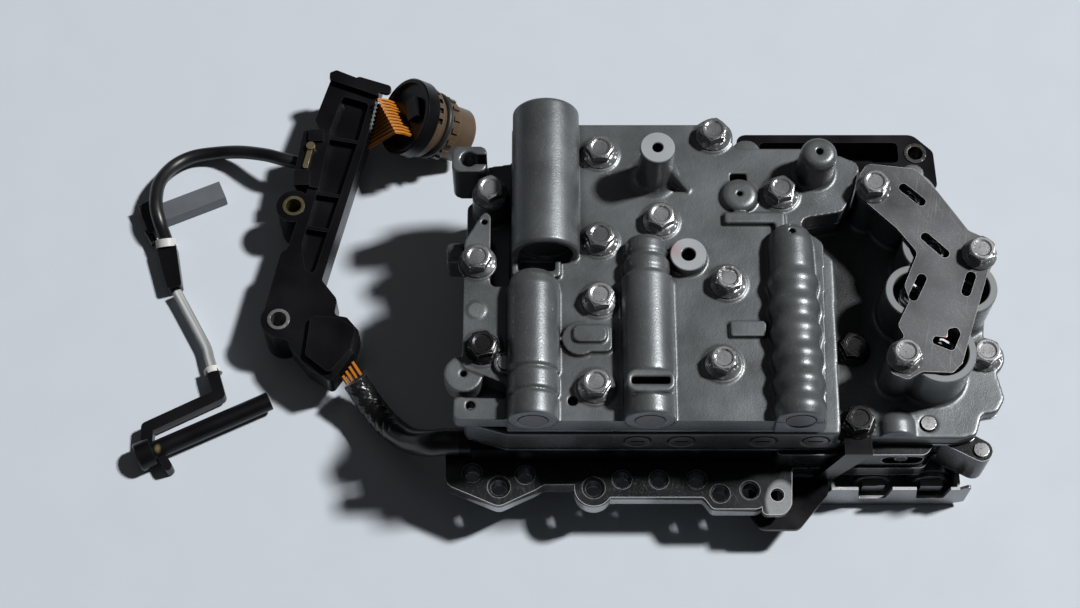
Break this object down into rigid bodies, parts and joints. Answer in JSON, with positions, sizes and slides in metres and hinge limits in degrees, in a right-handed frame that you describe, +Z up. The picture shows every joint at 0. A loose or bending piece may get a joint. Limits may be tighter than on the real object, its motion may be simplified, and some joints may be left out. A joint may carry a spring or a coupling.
{
  "type": "transmission valve body",
  "caption": "Stacked cast valve body of an automatic gearbox with ribbed valve bores, accumulators, solenoids, harness bracket, round connector and speed sensors.",
  "frame": {"origin": "mouth of the feed port on the underside, level with the feet", "axes": "+X along the body away from the harness, +Y to the rear, +Z up out of the deck"},
  "size_m": [0.3695, 0.2137, 0.095],
  "materials": {
    "cast_aluminium": "die-cast grey with a fine sparkle, darkened by oil",
    "plate_steel": "flat rolled steel",
    "pressed_steel": "pressed sheet with bright edges",
    "black_plastic": "moulded black, slightly glossy",
    "zinc_steel": "bright zinc plating",
    "oiled_steel": "dark and wet with oil",
    "spring_steel": "drawn wire",
    "turned_aluminium": "turned and ground",
    "ball_steel": "polished",
    "solenoid_steel": "plated can",
    "bush_brass": "turned bush",
    "brown_plastic": "glass-filled brown moulding",
    "seal_rubber": "moulded ring",
    "orange_wire": "glossy insulation",
    "braid": "braided sleeving",
    "cable_rubber": "smooth jacket",
    "clear_tube": "cloudy clear tubing over pale wires",
    "grey_plastic": "moulded grey",
    "band_white": "heat-shrunk white band"
  },
  "bodies": {
    "housing": {"upper_valve_body": "cast_aluminium", "upper_separator_plate": "plate_steel", "middle_valve_body": "cast_aluminium", "lower_separator_plate": "plate_steel", "lower_valve_body": "cast_aluminium", "lead_frame": "black_plastic", "oil_strainer": "black_plastic", "accumulator_cover": "pressed_steel", "solenoid_tray": "pressed_steel", "damper_spring": "spring_steel", "damper_plug": "turned_aluminium", "primary_spring": "spring_steel", "lockup_spring": "spring_steel", "secondary_spring": "spring_steel", "upper_bore_plugs": "turned_aluminium", "plug_keepers": "oiled_steel", "clutch_spring_1": "spring_steel", "clutch_spring_2": "spring_steel", "clutch_spring_3": "spring_steel", "middle_bore_plugs": "turned_aluminium", "accumulator_spring_1": "spring_steel", "accumulator_spring_2": "spring_steel", "accumulator_spring_3": "spring_steel", "accumulator_spring_4": "spring_steel", "accumulator_spring_5": "spring_steel", "check_balls": "ball_steel", "body_bolts": "zinc_steel", "long_bolts": "oiled_steel", "dowel_pins": "zinc_steel", "solenoid_1": "solenoid_steel", "solenoid_2": "solenoid_steel", "solenoid_3": "solenoid_steel", "solenoid_4": "solenoid_steel", "solenoid_5": "solenoid_steel", "solenoid_6": "solenoid_steel", "harness_bracket": "black_plastic", "bolt_bushes": "bush_brass", "connector_housing": "brown_plastic", "connector_insert": "black_plastic", "connector_seal": "seal_rubber", "signal_wires": "orange_wire", "harness_sleeve": "braid", "sensor_cable": "cable_rubber", "sensor_lead": "clear_tube", "input_speed_sensor": "grey_plastic", "output_speed_sensor": "black_plastic", "cable_bands": "band_white"},
    "primary_valve": {"primary_valve": "turned_aluminium"},
    "lockup_valve": {"lockup_valve": "turned_aluminium"},
    "secondary_valve": {"secondary_valve": "turned_aluminium"},
    "clutch_valve_1": {"clutch_valve_1": "turned_aluminium"},
    "clutch_valve_2": {"clutch_valve_2": "turned_aluminium"},
    "clutch_valve_3": {"clutch_valve_3": "turned_aluminium"},
    "damper_piston": {"damper_piston": "turned_aluminium"},
    "manual_valve": {"manual_valve": "turned_aluminium"},
    "accumulator_piston_1": {"accumulator_piston_1": "turned_aluminium"},
    "accumulator_piston_2": {"accumulator_piston_2": "turned_aluminium"},
    "accumulator_piston_3": {"accumulator_piston_3": "turned_aluminium"},
    "accumulator_piston_4": {"accumulator_piston_4": "turned_aluminium"},
    "accumulator_piston_5": {"accumulator_piston_5": "turned_aluminium"}
  },
  "joints": [
    {"name": "primary_slide", "type": "slide", "parent": "housing", "child": "primary_valve", "axis": [0, -1, 0], "range_m": [0, 0.006], "stiffness_N_per_m": 150, "springref_m": -0.006, "deforming": ["primary_spring"]},
    {"name": "lockup_slide", "type": "slide", "parent": "housing", "child": "lockup_valve", "axis": [0, -1, 0], "range_m": [0, 0.006], "stiffness_N_per_m": 150, "springref_m": -0.006, "deforming": ["lockup_spring"]},
    {"name": "secondary_slide", "type": "slide", "parent": "housing", "child": "secondary_valve", "axis": [0, -1, 0], "range_m": [0, 0.006], "stiffness_N_per_m": 150, "springref_m": -0.006, "deforming": ["secondary_spring"]},
    {"name": "clutch_1_slide", "type": "slide", "parent": "housing", "child": "clutch_valve_1", "axis": [0, -1, 0], "range_m": [0, 0.006], "stiffness_N_per_m": 120, "springref_m": -0.006, "deforming": ["clutch_spring_1"]},
    {"name": "clutch_2_slide", "type": "slide", "parent": "housing", "child": "clutch_valve_2", "axis": [0, -1, 0], "range_m": [0, 0.006], "stiffness_N_per_m": 120, "springref_m": -0.006, "deforming": ["clutch_spring_2"]},
    {"name": "clutch_3_slide", "type": "slide", "parent": "housing", "child": "clutch_valve_3", "axis": [0, -1, 0], "range_m": [0, 0.006], "stiffness_N_per_m": 120, "springref_m": -0.006, "deforming": ["clutch_spring_3"]},
    {"name": "damper_slide", "type": "slide", "parent": "housing", "child": "damper_piston", "axis": [0, 1, 0], "range_m": [0, 0.012], "stiffness_N_per_m": 200, "springref_m": -0.008, "deforming": ["damper_spring"]},
    {"name": "manual_slide", "type": "slide", "parent": "housing", "child": "manual_valve", "axis": [0, 1, 0], "range_m": [-0.008, 0.004]},
    {"name": "accumulator_1_slide", "type": "slide", "parent": "housing", "child": "accumulator_piston_1", "axis": [0, 0, 1], "range_m": [0, 0.008], "stiffness_N_per_m": 400, "springref_m": -0.006, "deforming": ["accumulator_spring_1"]},
    {"name": "accumulator_2_slide", "type": "slide", "parent": "housing", "child": "accumulator_piston_2", "axis": [0, 0, 1], "range_m": [0, 0.008], "stiffness_N_per_m": 400, "springref_m": -0.006, "deforming": ["accumulator_spring_2"]},
    {"name": "accumulator_3_slide", "type": "slide", "parent": "housing", "child": "accumulator_piston_3", "axis": [0, 0, 1], "range_m": [0, 0.008], "stiffness_N_per_m": 400, "springref_m": -0.006, "deforming": ["accumulator_spring_3"]},
    {"name": "accumulator_4_slide", "type": "slide", "parent": "housing", "child": "accumulator_piston_4", "axis": [0, 0, 1], "range_m": [0, 0.008], "stiffness_N_per_m": 400, "springref_m": -0.006, "deforming": ["accumulator_spring_4"]},
    {"name": "accumulator_5_slide", "type": "slide", "parent": "housing", "child": "accumulator_piston_5", "axis": [0, 0, 1], "range_m": [0, 0.008], "stiffness_N_per_m": 400, "springref_m": -0.006, "deforming": ["accumulator_spring_5"]}
  ]
}
